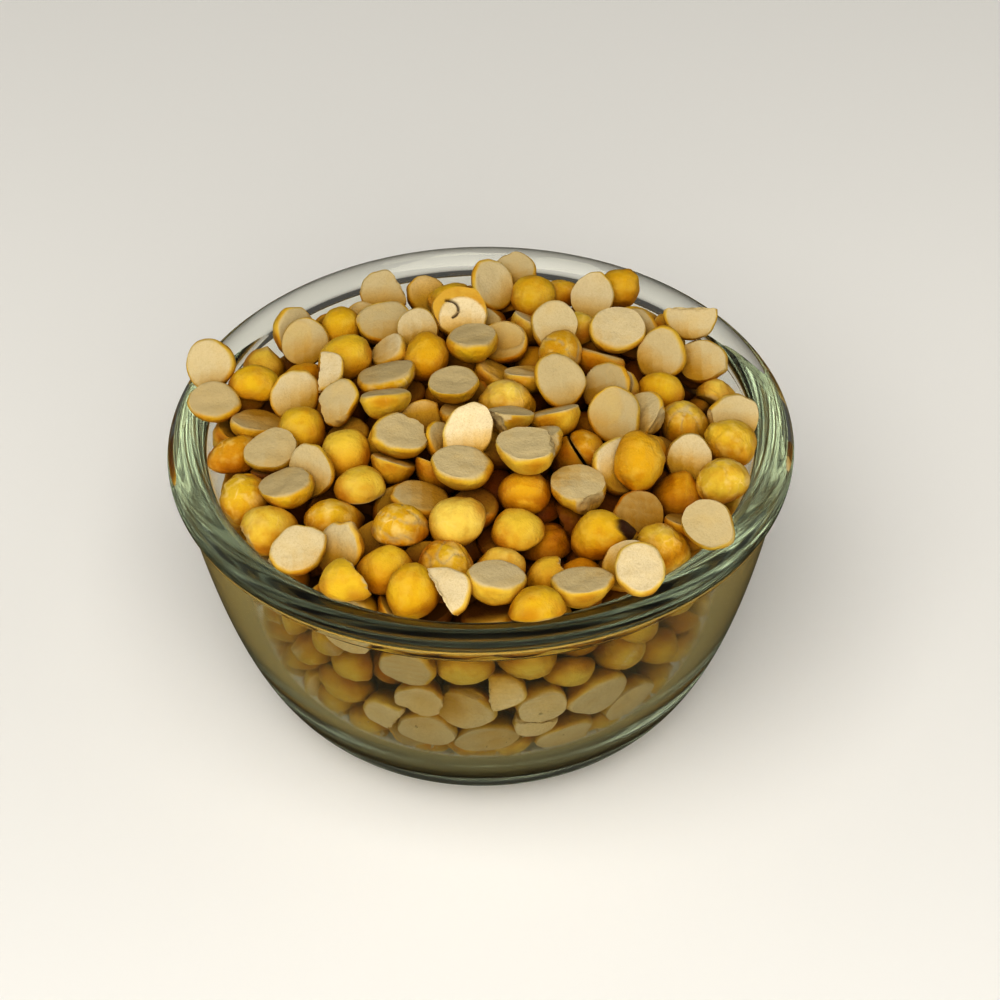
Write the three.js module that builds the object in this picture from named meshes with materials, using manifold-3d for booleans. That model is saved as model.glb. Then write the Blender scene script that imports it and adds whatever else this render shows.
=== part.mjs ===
// A small pressed-glass bowl heaped with roasted gram: split, skinned chickpea halves, each a
// flat pale face on a browned dome. Millimetres, +Z up. The origin is the middle of the bowl's
// foot, on the surface that it stands on.
import * as THREE from "three";
import { mergeVertices } from "three/addons/utils/BufferGeometryUtils.js";
import Module from "manifold-3d";

const wasm = await Module();
wasm.setup();

// Glass bowl
const RIM_DIAMETER = 92;
const BOWL_HEIGHT = 44.4;
const FOOT_RADIUS = 28.5;
const FLOOR_THICKNESS = 4.6;
const RIM_WIDTH = 5.8; // across the bead, from the inside of the bowl to its outermost edge
const RIM_DEPTH = 4.3; // from the top of the bead to its underside
const WALL_THICKNESS = 4.2; // just under the bead
const INNER_FLOOR_RADIUS = 24;
// How the wall bends: control points as shares of a rim radius and of the bowl's height
const INNER_SHOULDER = { radius: 0.905, height: 0.42 };
const INNER_TURN = 0.83;
const OUTER_TURN = { radius: 0.775, height: 0.015 };
const OUTER_SHOULDER = { radius: 0.89, height: 0.39 };
const BEAD_GROOVE = 0.4; // the step under the bead
const BEAD_START = -0.42 * Math.PI; // where the bead leaves the outside of the wall
const BOWL_SEGMENTS = 60;
const CURVE_STEPS = 8;
const BEAD_STEPS = 12;

// One half of a gram
const GRAM_LENGTH = 8.0;
const GRAM_WIDTH = 7.0;
const GRAM_THICKNESS = 4.1;
const GRAM_BEAK = 0.12; // how far the seed's tip stands out of its round outline, of its length
const GRAM_BEAK_SHARPNESS = 8;
const GRAM_SHOULDER = { radius: 0.42, height: 0.62 }; // of its width and of its thickness
const GRAM_SIDES = 6;
const SMALLEST_GRAM = 0.9; // of the sizes above
const LARGEST_GRAM = 1.1;

// Heap
const HEAP_RISE = 7.0; // its crown above the rim's top
const HEAP_DROP = 0.5; // its edge below the rim's top
const CORE_INSET = 2.6; // the core under the pieces that show, from the glass
const CORE_SINK = 3.2; // and from the heap's own surface
const CORE_TOP_SHARE = 0.97; // how far it reaches up the inside of the bowl
const CORE_SEGMENTS = 14;
const CORE_SIDE_STEPS = 3;
const CORE_CROWN_STEPS = 2;
const GLASS_CLEARANCE = 0.35; // between any piece and the bowl
const TOP_PIECES = 60;
const EDGE_PIECES = 26; // round the heap's edge, next to the rim
const FACE_UP_SHARE = 0.5;
const ON_EDGE_SHARE = 0.15;
const FACE_UP_SUNK = 0.15; // of its thickness, how far a flat face lies under the surface
const DOME_UP_SUNK = 0.8;
const SURFACE_LEAN = 0.6; // the most that a piece on the surface leans, in radians
const SIDE_RINGS = 4;
const SIDE_TOP_SHARE = 0.17; // where the first ring lies, of the way down the inside of the bowl
const SIDE_SPAN = 0.6; // and how much further down the last one lies
const SIDE_LEAN = 0.5;
const FACE_OUT_SHARE = 0.5; // of the pieces that lie against the glass
const SIDE_SPACING = 10.2; // between the middles of the pieces in a ring
const FLOOR_RINGS = [0, 9, 19]; // radii of the rings of pieces that lie on the floor
const FLOOR_SPACING = 11.0;
const LYING_LEAN = 0.3;
const RING_UNEVENNESS = 0.15; // of the spacing
const SIDE_UNEVENNESS = 0.02; // of the way down the inside of the bowl
const START_INSET = 0.5; // from the glass, before a piece clears it
const WALL_SAMPLES = 81; // points of the bowl's inside that a piece is held clear of
const PLACING_TRIES = 8; // how often a piece is moved off the glass before it is left out
const PLACING_STEP = 0.02;
const RIM_PIECE_ANGLES = [33, 165, 173]; // pieces that lie out over the rim, in degrees about +Z
const RIM_PIECE_RADIUS = 38.8;
const RIM_PIECE_RISE = 0.8; // their flat faces above the rim's top, before they clear the glass
const SEED = 20;

const rimRadius = RIM_DIAMETER / 2;
const innerRimRadius = rimRadius - RIM_WIDTH;
const beadMiddle = BOWL_HEIGHT - RIM_DEPTH / 2;
const underBead = BOWL_HEIGHT - RIM_DEPTH;
const goldenAngle = Math.PI * (3 - Math.sqrt(5));
const up = new THREE.Vector3(0, 0, 1);

// A repeatable draw from 0 to 1.
let drawState = SEED;
function draw(low = 0, high = 1) {
  drawState = (drawState + 0x6d2b79f5) | 0;
  let mixed = Math.imul(drawState ^ (drawState >>> 15), 1 | drawState);
  mixed = (mixed + Math.imul(mixed ^ (mixed >>> 7), 61 | mixed)) ^ mixed;
  const share = ((mixed ^ (mixed >>> 14)) >>> 0) / 2 ** 32;
  return low + (high - low) * share;
}

// How far a piece in a ring lies off its even place, of the spacing.
function uneven() {
  return draw(-RING_UNEVENNESS, RING_UNEVENNESS);
}

// The inside of the bowl from the bead down to the floor, as radius and height.
function innerWall() {
  return new THREE.CubicBezierCurve(
    new THREE.Vector2(innerRimRadius, beadMiddle),
    new THREE.Vector2(INNER_SHOULDER.radius * innerRimRadius, INNER_SHOULDER.height * BOWL_HEIGHT),
    new THREE.Vector2(INNER_TURN * innerRimRadius, FLOOR_THICKNESS),
    new THREE.Vector2(INNER_FLOOR_RADIUS, FLOOR_THICKNESS),
  );
}

// The outside of the bowl from its foot up to the bead.
function outerWall() {
  return new THREE.CubicBezierCurve(
    new THREE.Vector2(FOOT_RADIUS, 0),
    new THREE.Vector2(OUTER_TURN.radius * rimRadius, OUTER_TURN.height * BOWL_HEIGHT),
    new THREE.Vector2(OUTER_SHOULDER.radius * rimRadius, OUTER_SHOULDER.height * BOWL_HEIGHT),
    new THREE.Vector2(innerRimRadius + WALL_THICKNESS, underBead - BEAD_GROOVE),
  );
}

function turned(outline, segments) {
  return new THREE.LatheGeometry(outline, segments).rotateX(Math.PI / 2);
}

function bowlGeometry() {
  const bead = new THREE.EllipseCurve(
    rimRadius - RIM_WIDTH / 2, beadMiddle, RIM_WIDTH / 2, RIM_DEPTH / 2, BEAD_START, Math.PI,
  );
  const outline = [
    new THREE.Vector2(0, 0),
    ...outerWall().getPoints(CURVE_STEPS),
    ...bead.getPoints(BEAD_STEPS),
    ...innerWall().getPoints(CURVE_STEPS).slice(1),
    new THREE.Vector2(0, FLOOR_THICKNESS),
  ];
  return turned(outline, BOWL_SEGMENTS);
}

// The heap's surface, a shallow crown that falls away towards the glass.
function heapHeight(radius) {
  const fall = (HEAP_RISE + HEAP_DROP) * (radius / innerRimRadius) ** 2;
  return BOWL_HEIGHT + HEAP_RISE - fall;
}

// The inside of the bowl as points with the normal that leads into the heap.
function wallAt(share) {
  const curve = innerWall();
  const point = curve.getPointAt(share);
  const along = curve.getTangentAt(share);
  return { point, inward: new THREE.Vector2(along.y, -along.x) };
}

function coreGeometry() {
  const side = [];
  for (let step = 0; step <= CORE_SIDE_STEPS; step += 1) {
    const { point, inward } = wallAt(1 - CORE_TOP_SHARE * (step / CORE_SIDE_STEPS));
    side.push(point.clone().addScaledVector(inward, CORE_INSET));
  }
  const crown = [];
  for (let step = 1; step <= CORE_CROWN_STEPS; step += 1) {
    const radius = side.at(-1).x * (1 - step / CORE_CROWN_STEPS);
    crown.push(new THREE.Vector2(radius, heapHeight(radius) - CORE_SINK));
  }
  return turned([new THREE.Vector2(0, side[0].y), ...side, ...crown], CORE_SEGMENTS);
}

// One half, its flat face at the middle looking along -Z and its dome along +Z.
function gramGeometry() {
  const size = draw(SMALLEST_GRAM, LARGEST_GRAM);
  const round = [
    new THREE.Vector2(0, 0),
    new THREE.Vector2(0.5, 0),
    new THREE.Vector2(GRAM_SHOULDER.radius, GRAM_SHOULDER.height),
    new THREE.Vector2(0, 1),
  ];
  const half = turned(round, GRAM_SIDES);
  const places = half.getAttribute("position");
  for (let i = 0; i < places.count; i += 1) {
    const ahead = Math.max(0, places.getX(i)) / 0.5;
    places.setX(i, places.getX(i) * (1 + 2 * GRAM_BEAK * ahead ** GRAM_BEAK_SHARPNESS));
  }
  return half.scale(size * GRAM_LENGTH, size * GRAM_WIDTH, size * GRAM_THICKNESS);
}

// Turns a half so that its flat face looks along a direction, leaned off it and spun at random.
function gramFacing(direction, mostLean) {
  const lean = new THREE.Vector3(draw(-1, 1), draw(-1, 1), draw(-1, 1)).normalize();
  const face = direction.clone().addScaledVector(lean, Math.tan(draw(0, mostLean))).normalize();
  const turn = new THREE.Quaternion().setFromUnitVectors(up.clone().negate(), face);
  const spin = new THREE.Quaternion().setFromAxisAngle(up, draw(0, 2 * Math.PI));
  return gramGeometry().applyQuaternion(turn.multiply(spin));
}

// How far a point is clear of the glass: of the bead, or further down of the wall and floor.
const wallSamples = Array.from({ length: WALL_SAMPLES }, (_, i) => wallAt(i / (WALL_SAMPLES - 1)));
function clearOfGlass(x, y, z) {
  const place = new THREE.Vector2(Math.hypot(x, y), z);
  if (z > beadMiddle) {
    const across = (place.x - rimRadius + RIM_WIDTH / 2) / (RIM_WIDTH / 2);
    const above = (z - beadMiddle) / (RIM_DEPTH / 2);
    return (Math.hypot(across, above) - 1) * (RIM_DEPTH / 2);
  }
  let least = z - FLOOR_THICKNESS;
  for (const { point, inward } of wallSamples) {
    least = Math.min(least, place.clone().sub(point).dot(inward));
  }
  return least;
}

// The least clearance over a half: at its corners and at the middles of its faces' edges.
function leastClearance(half) {
  const corners = half.getAttribute("position");
  const order = half.index.array;
  let least = Infinity;
  for (let i = 0; i < order.length; i += 1) {
    const next = i % 3 === 2 ? i - 2 : i + 1;
    const corner = new THREE.Vector3().fromBufferAttribute(corners, order[i]);
    const middle = new THREE.Vector3().fromBufferAttribute(corners, order[next]).lerp(corner, 0.5);
    least = Math.min(least, clearOfGlass(...corner), clearOfGlass(...middle));
  }
  return least;
}

// Puts a half at a place, then moves it along a direction until it is clear of the glass.
function placed(half, place, away) {
  half.translate(place.x, place.y, place.z);
  for (let tries = 0; tries < PLACING_TRIES; tries += 1) {
    const short = GLASS_CLEARANCE - leastClearance(half);
    if (short <= 0) return half;
    half.translate(...away.clone().multiplyScalar(short + PLACING_STEP));
  }
  return null;
}

// A piece on the heap's surface. Some lie face up, some dome up and some on edge.
function onHeap(radius, angle) {
  const out = new THREE.Vector3(Math.cos(angle), Math.sin(angle), 0);
  const kind = draw();
  const direction = up.clone();
  if (kind > FACE_UP_SHARE) direction.negate();
  if (kind > 1 - ON_EDGE_SHARE) direction.set(draw(-1, 1), draw(-1, 1), 0.2).normalize();
  const sunk = direction.z > 0 ? FACE_UP_SUNK : DOME_UP_SUNK;
  const height = heapHeight(radius) - sunk * GRAM_THICKNESS;
  const place = out.clone().multiplyScalar(radius).setZ(height);
  return placed(gramFacing(direction, SURFACE_LEAN), place, out.negate());
}

// Pieces over the heap's top, spread evenly by a sunflower spiral, and a ring round its edge.
function topPieces() {
  const pieces = [];
  const edge = innerRimRadius - GRAM_LENGTH / 2;
  for (let i = 0; i < TOP_PIECES; i += 1) {
    const radius = (edge - GRAM_WIDTH) * Math.sqrt((i + 0.5) / TOP_PIECES);
    pieces.push(onHeap(radius, i * goldenAngle));
  }
  for (let i = 0; i < EDGE_PIECES; i += 1) {
    const angle = ((i + uneven()) / EDGE_PIECES) * 2 * Math.PI;
    pieces.push(onHeap(edge, angle));
  }
  return pieces;
}

// Pieces that lie face up on the heap's edge, part of them out over the rim.
function rimPieces() {
  return RIM_PIECE_ANGLES.map((degrees) => {
    const angle = THREE.MathUtils.degToRad(degrees);
    const place = new THREE.Vector3(Math.cos(angle), Math.sin(angle), 0);
    place.multiplyScalar(RIM_PIECE_RADIUS).setZ(BOWL_HEIGHT + RIM_PIECE_RISE);
    return placed(gramFacing(up, LYING_LEAN), place, up);
  });
}

// A piece that lies against the glass at a share of the way down its inside, face or dome out.
function againstGlass(share, angle) {
  const { point, inward } = wallAt(share);
  const out = new THREE.Vector3(Math.cos(angle), Math.sin(angle), 0);
  const away = out.clone().multiplyScalar(inward.x).setZ(inward.y);
  const place = out.multiplyScalar(point.x).setZ(point.y).addScaledVector(away, START_INSET);
  const direction = draw() < FACE_OUT_SHARE ? away.clone().negate() : away.clone();
  return placed(gramFacing(direction, SIDE_LEAN), place, away);
}

// Rings of pieces that show through the wall.
function sidePieces() {
  const pieces = [];
  for (let ring = 0; ring < SIDE_RINGS; ring += 1) {
    const share = SIDE_TOP_SHARE + (SIDE_SPAN * ring) / (SIDE_RINGS - 1);
    const count = Math.floor((2 * Math.PI * wallAt(share).point.x) / SIDE_SPACING);
    for (let i = 0; i < count; i += 1) {
      const angle = ((i + 0.5 * (ring % 2) + uneven()) / count) * 2 * Math.PI;
      pieces.push(againstGlass(share + draw(-SIDE_UNEVENNESS, SIDE_UNEVENNESS), angle));
    }
  }
  return pieces;
}

// Rings of pieces that lie on the floor and show from below.
function floorPieces() {
  const pieces = [];
  for (const radius of FLOOR_RINGS) {
    const count = Math.max(1, Math.floor((2 * Math.PI * radius) / FLOOR_SPACING));
    for (let i = 0; i < count; i += 1) {
      const angle = ((i + uneven()) / count) * 2 * Math.PI;
      const place = new THREE.Vector3(Math.cos(angle), Math.sin(angle), 0).multiplyScalar(radius);
      place.setZ(FLOOR_THICKNESS + START_INSET);
      const direction = draw() < FACE_OUT_SHARE ? up.clone().negate() : up.clone();
      pieces.push(placed(gramFacing(direction, LYING_LEAN), place, up));
    }
  }
  return pieces;
}

// A closed geometry as a solid that can be joined to others.
function solidOf(geometry) {
  const bare = geometry.clone().deleteAttribute("normal").deleteAttribute("uv");
  const merged = mergeVertices(bare, 1e-3);
  return new wasm.Manifold(
    new wasm.Mesh({
      numProp: 3,
      vertProperties: merged.getAttribute("position").array,
      triVerts: new Uint32Array(merged.index.array),
    }),
  );
}

// The core with the pieces fused on. Its outermost skin alone is kept, so that no hollow is
// sealed inside and no scrap is left loose.
function heapGeometry() {
  const laid = [...topPieces(), ...sidePieces(), ...floorPieces(), ...rimPieces()];
  const pieces = laid.filter(Boolean).map(solidOf);
  const joined = pieces.reduce((heap, piece) => heap.add(piece), solidOf(coreGeometry()));
  const [skin] = joined.decompose().sort((a, b) => b.volume() - a.volume());
  const { vertProperties, triVerts } = skin.getMesh();
  return new THREE.BufferGeometry()
    .setAttribute("position", new THREE.BufferAttribute(vertProperties, 3))
    .setIndex(new THREE.BufferAttribute(triVerts, 1));
}

function named(name, geometry, material) {
  geometry.computeVertexNormals();
  const mesh = new THREE.Mesh(geometry, material);
  mesh.name = name;
  return mesh;
}

const glass = new THREE.MeshStandardMaterial({
  color: 0xdfe8dc, roughness: 0.05, metalness: 0, transparent: true, opacity: 0.35,
});
const roastedGram = new THREE.MeshStandardMaterial({ color: 0xcf9a48, roughness: 0.6, metalness: 0 });

const dish = new THREE.Group();
dish.add(named("bowl", bowlGeometry(), glass));
dish.add(named("gram_heap", heapGeometry(), roastedGram));

export default dish;
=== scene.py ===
# A small clear glass bowl heaped with split roasted gram, on a pale floor in soft studio light.
import math
import random
from dataclasses import dataclass

import bpy
import numpy as np
from mathutils import Matrix, Quaternion, Vector


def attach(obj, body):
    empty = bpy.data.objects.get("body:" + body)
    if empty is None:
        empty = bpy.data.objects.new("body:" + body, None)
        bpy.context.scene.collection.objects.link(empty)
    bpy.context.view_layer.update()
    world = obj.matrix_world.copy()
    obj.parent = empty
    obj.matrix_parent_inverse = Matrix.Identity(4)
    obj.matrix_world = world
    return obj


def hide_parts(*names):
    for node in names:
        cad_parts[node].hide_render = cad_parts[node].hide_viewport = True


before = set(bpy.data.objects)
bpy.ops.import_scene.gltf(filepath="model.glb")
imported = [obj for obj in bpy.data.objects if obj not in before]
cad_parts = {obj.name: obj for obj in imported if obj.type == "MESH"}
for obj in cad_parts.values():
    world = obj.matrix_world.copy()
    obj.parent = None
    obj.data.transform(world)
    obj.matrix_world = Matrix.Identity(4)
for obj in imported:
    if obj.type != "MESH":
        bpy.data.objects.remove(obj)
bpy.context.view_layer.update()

MM = 0.001
SEED = 11
SEED_LIMIT = 1 << 30  # each half is drawn from a seed of its own, below this

# Glass bowl, in millimetres
RIM_RADIUS = 46.0
BOWL_HEIGHT = 44.4
FOOT_RADIUS = 28.5
FLOOR_THICKNESS = 4.6
RIM_WIDTH = 5.8
RIM_DEPTH = 4.3
WALL_THICKNESS = 4.2
INNER_FLOOR_RADIUS = 24.0
INNER_RIM_RADIUS = RIM_RADIUS - RIM_WIDTH
BEAD_MIDDLE = BOWL_HEIGHT - RIM_DEPTH / 2
BEAD_CENTRE = RIM_RADIUS - RIM_WIDTH / 2
BEAD_GROOVE = 0.4  # how far under the bead the outer wall ends
BEAD_START = -0.42 * math.pi
INNER_UPPER = (0.905 * INNER_RIM_RADIUS, 0.42 * BOWL_HEIGHT)  # where the wall's curve bends towards
INNER_LOWER = (0.83 * INNER_RIM_RADIUS, FLOOR_THICKNESS)
OUTER_LOWER = (0.775 * RIM_RADIUS, 0.015 * BOWL_HEIGHT)
OUTER_UPPER = (0.89 * RIM_RADIUS, 0.39 * BOWL_HEIGHT)
GLASS_SEGMENTS = 480
GLASS_CURVE_STEPS = 30
GLASS_BEAD_STEPS = 120
GLASS_CREASE = math.radians(40)
GLASS_IOR = 1.48
WALL_STEPS = 60  # points of the inner wall that depths are measured from

# One half of a gram, in millimetres
GRAM_LENGTH = 7.8
GRAM_WIDTH = 7.1
GRAM_THICKNESS = 4.1
GRAM_CREASE = math.radians(45)
COARSE_HALF = (20, 3, 6)  # segments round, rings on the flat face and rings on the dome
FINE_HALF = (36, 5, 10)
CLOSE_HALF = (48, 9, 13)
MARKED_HALF = (96, 24, 20)
FLAT_SPACING = 0.8  # under 1, rings crowd towards the edge
DOME_SPACING = 0.86
DOME_START = 0.8  # how many rings' steps from the shoulder the dome's first ring is
DOME_END = 0.98
SHOULDER_RINGS = 4
SHOULDER_CORNER = 0.5  # how steeply, in radians, the shoulder leaves the flat face
DOME_ROUNDING = 0.62  # 0.5 is an ellipse, 1 a dome that comes to the shoulder at a slant

# Outline and marks of halves, as shares of their size
BORDER_START = 0.8
BORDER_WIDTH = 0.2
LOBES = ((2, 0.04), (3, 0.04), (4, 0.025), (5, 0.018))  # how many round the outline, and how deep
RAGGED_LOBES = (7, 9, 11)
RAGGED_DEPTH = 0.012
PHASE = 6.0  # waves start anywhere in this many radians
FOLD_DEPTH = 0.045
CRACK_DEPTH = 0.05
SPLIT_DEPTH = 0.22
FLAP_MIDDLE = (0.02, 0.13)
FLAP_REACH = 0.41
HOOK_MIDDLE = (-0.22, -0.04)
HOOK_RADIUS = 0.17
HOOK_WIDTH = 0.02

# Relief of halves, in millimetres
FACE_RELIEF = 0.09
FLAP_THICKNESS = 0.3
HOOK_DEPTH = 0.5
SPLIT_WIDTH = 0.28
SPLIT_START = 0.5

# Planes that halves break along: spans of the way they face, their slant and how far out they are, and
# how rough they are
CHIP = ((0, 2 * math.pi), (-0.9, 0.5), (0.66, 0.86), 0.14)
BREAK = ((-0.5, 0.5), (-0.3, 0.3), (-0.05, 0.4), 0.17)
SECOND_BREAK = ((1.2, 4.0), (-0.5, 0.5), (-0.1, 0.3), 0.17)

# Kinds of halves that fall, and their shares
KINDS = ("broken", "chipped", "stepped", "cracked", "wrinkled", "beaked", "plump", "round")
KIND_SHARES = (0.08, 0.15, 0.09, 0.08, 0.18, 0.19, 0.11, 0.12)
MARKED_KINDS = ("crescent", "split", "burnt")  # single halves with a mesh fine enough for their marks
PIECES = 1100
FRAGMENTS = 45

# Falling, in millimetres
COLUMN_START = 9.0
COLUMN_RADIUS = 33.0
COLUMN_STEP = 8.6
COLUMN_FLARE = 0.3
COLUMN_SHAKE = 0.5
LAYER_STEP = 8.2
GROUND_REACH = 900
SETTLE_FRAMES = 84
LANDMARK_FRAMES = 30
SUBSTEPS = 8
SIM_UNIT = 0.1  # scene units for each millimetre while the halves fall
SIM_GRAVITY = 25.0
SIM_BOWL_STEPS = (9, 11)
SIM_BOWL_SEGMENTS = 48
GLASS_FRICTION = 0.45
GRAM_FRICTION = 0.55

# Heap, in millimetres
HEAP_RISE = 7.0
HEAP_FALL = 7.5
SHOWN_DEPTH = 11.0  # how deep into the heap a half can still show
FINE_DEPTH = 6.0  # down to here under the open top a half has its fine mesh
NEAR_REACH = 5.0  # halves this near, seen from above, lie over one another
TOP_MARGIN = 1.0  # the middle of a half is at least this far under the top
RIM_MARGIN = 1.0  # halves from the photograph lie at least this far above the rim
MAP_CELL = 1.5
MAP_REACH = 3  # in cells
SHADE_DEPTH = 5.0
GLASS_SHADE = 1.4  # how much faster the painted shade gets dark away from the glass
PAINTED_LIGHT_REACH = 4.0  # halves this near the glass, below the bead, get a paler tone: painted light, so they look as well lit through the glass as those on top
PAINTED_LIGHT_SHARE = 0.3
TEXTURE_SPREAD = 500.0
CORE_DEPTH = 9.0
CORE_SIDE_STEPS = 30
CORE_CROWN_STEPS = 10
CORE_SEGMENTS = 60
CORE_WAVE = 7.0
POWDER_SPECKS = 900
POWDER_HEIGHT = 24.0
POWDER_STEPS = 200
POWDER_CROWDING = 0.6  # under 1, more of it lies low
POWDER_LOOK = {"pale": 0.9, "burnt": 0.0, "toast": 0.0, "tone": 0.3, "worn": 0.0, "shade": 0.0}

# Camera, in millimetres
CAMERA_DISTANCE = 430.0
CAMERA_HEIGHT_AIM = 22.1
CAMERA_ELEVATION = math.radians(42.156)
CAMERA_ASIDE = math.radians(0.3647)
CAMERA_ABOVE = math.radians(0.7735)
CAMERA_ROLL = math.radians(-0.9038)
SENSOR = 36.0
LENS = 101.81
PICTURE = 1000  # pixels on a side
SIGHT_NEAR = 320
SIGHT_FAR = 520
SIGHT_STEPS = 1600
SIGHT_STEP = 0.2
SIGHT_CURVE_STEPS = 400

# Studio, in metres
FLOOR_REACH = 2.0
FLOOR_LEVEL = -0.05 * MM
LIGHT_AIM = Vector((0, 0, 0.03))
LIGHT_COLOUR = (1.0, 0.965, 0.90)
LIGHTS = (  # name, place, watts, size, whether it lights what it shines on, whether surfaces mirror it
    ("left_softbox", (-0.75, -0.10, 0.45), 1.2, 0.8, True, False),
    ("right_softbox", (0.75, -0.05, 0.45), 1.2, 0.8, True, False),
    ("left_glint", (-0.75, -0.10, 0.45), 8.0, 0.8, False, True),
    ("right_glint", (0.75, -0.05, 0.45), 8.0, 0.8, False, True),
    ("top_softbox", (-0.12, -0.44, 0.80), 9.5, 0.9, True, False),
    ("front_softbox", (0.08, -0.85, 0.26), 6.2, 0.9, True, False),
)

# Colours of the skin and of the flesh, from the palest tone to the darkest
SKIN_TONES = (
    (0.0, (0.72, 0.570, 0.140)),
    (0.3, (0.61, 0.435, 0.052)),
    (0.65, (0.58, 0.373, 0.012)),
    (0.9, (0.54, 0.300, 0.006)),
    (1.0, (0.46, 0.205, 0.004)),
)
FLESH_TONES = (
    (0.0, (0.8, 0.685, 0.450)),
    (0.2, (0.6, 0.505, 0.320)),
    (0.4, (0.5, 0.410, 0.230)),
    (1.0, (0.385, 0.295, 0.145)),
)


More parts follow.
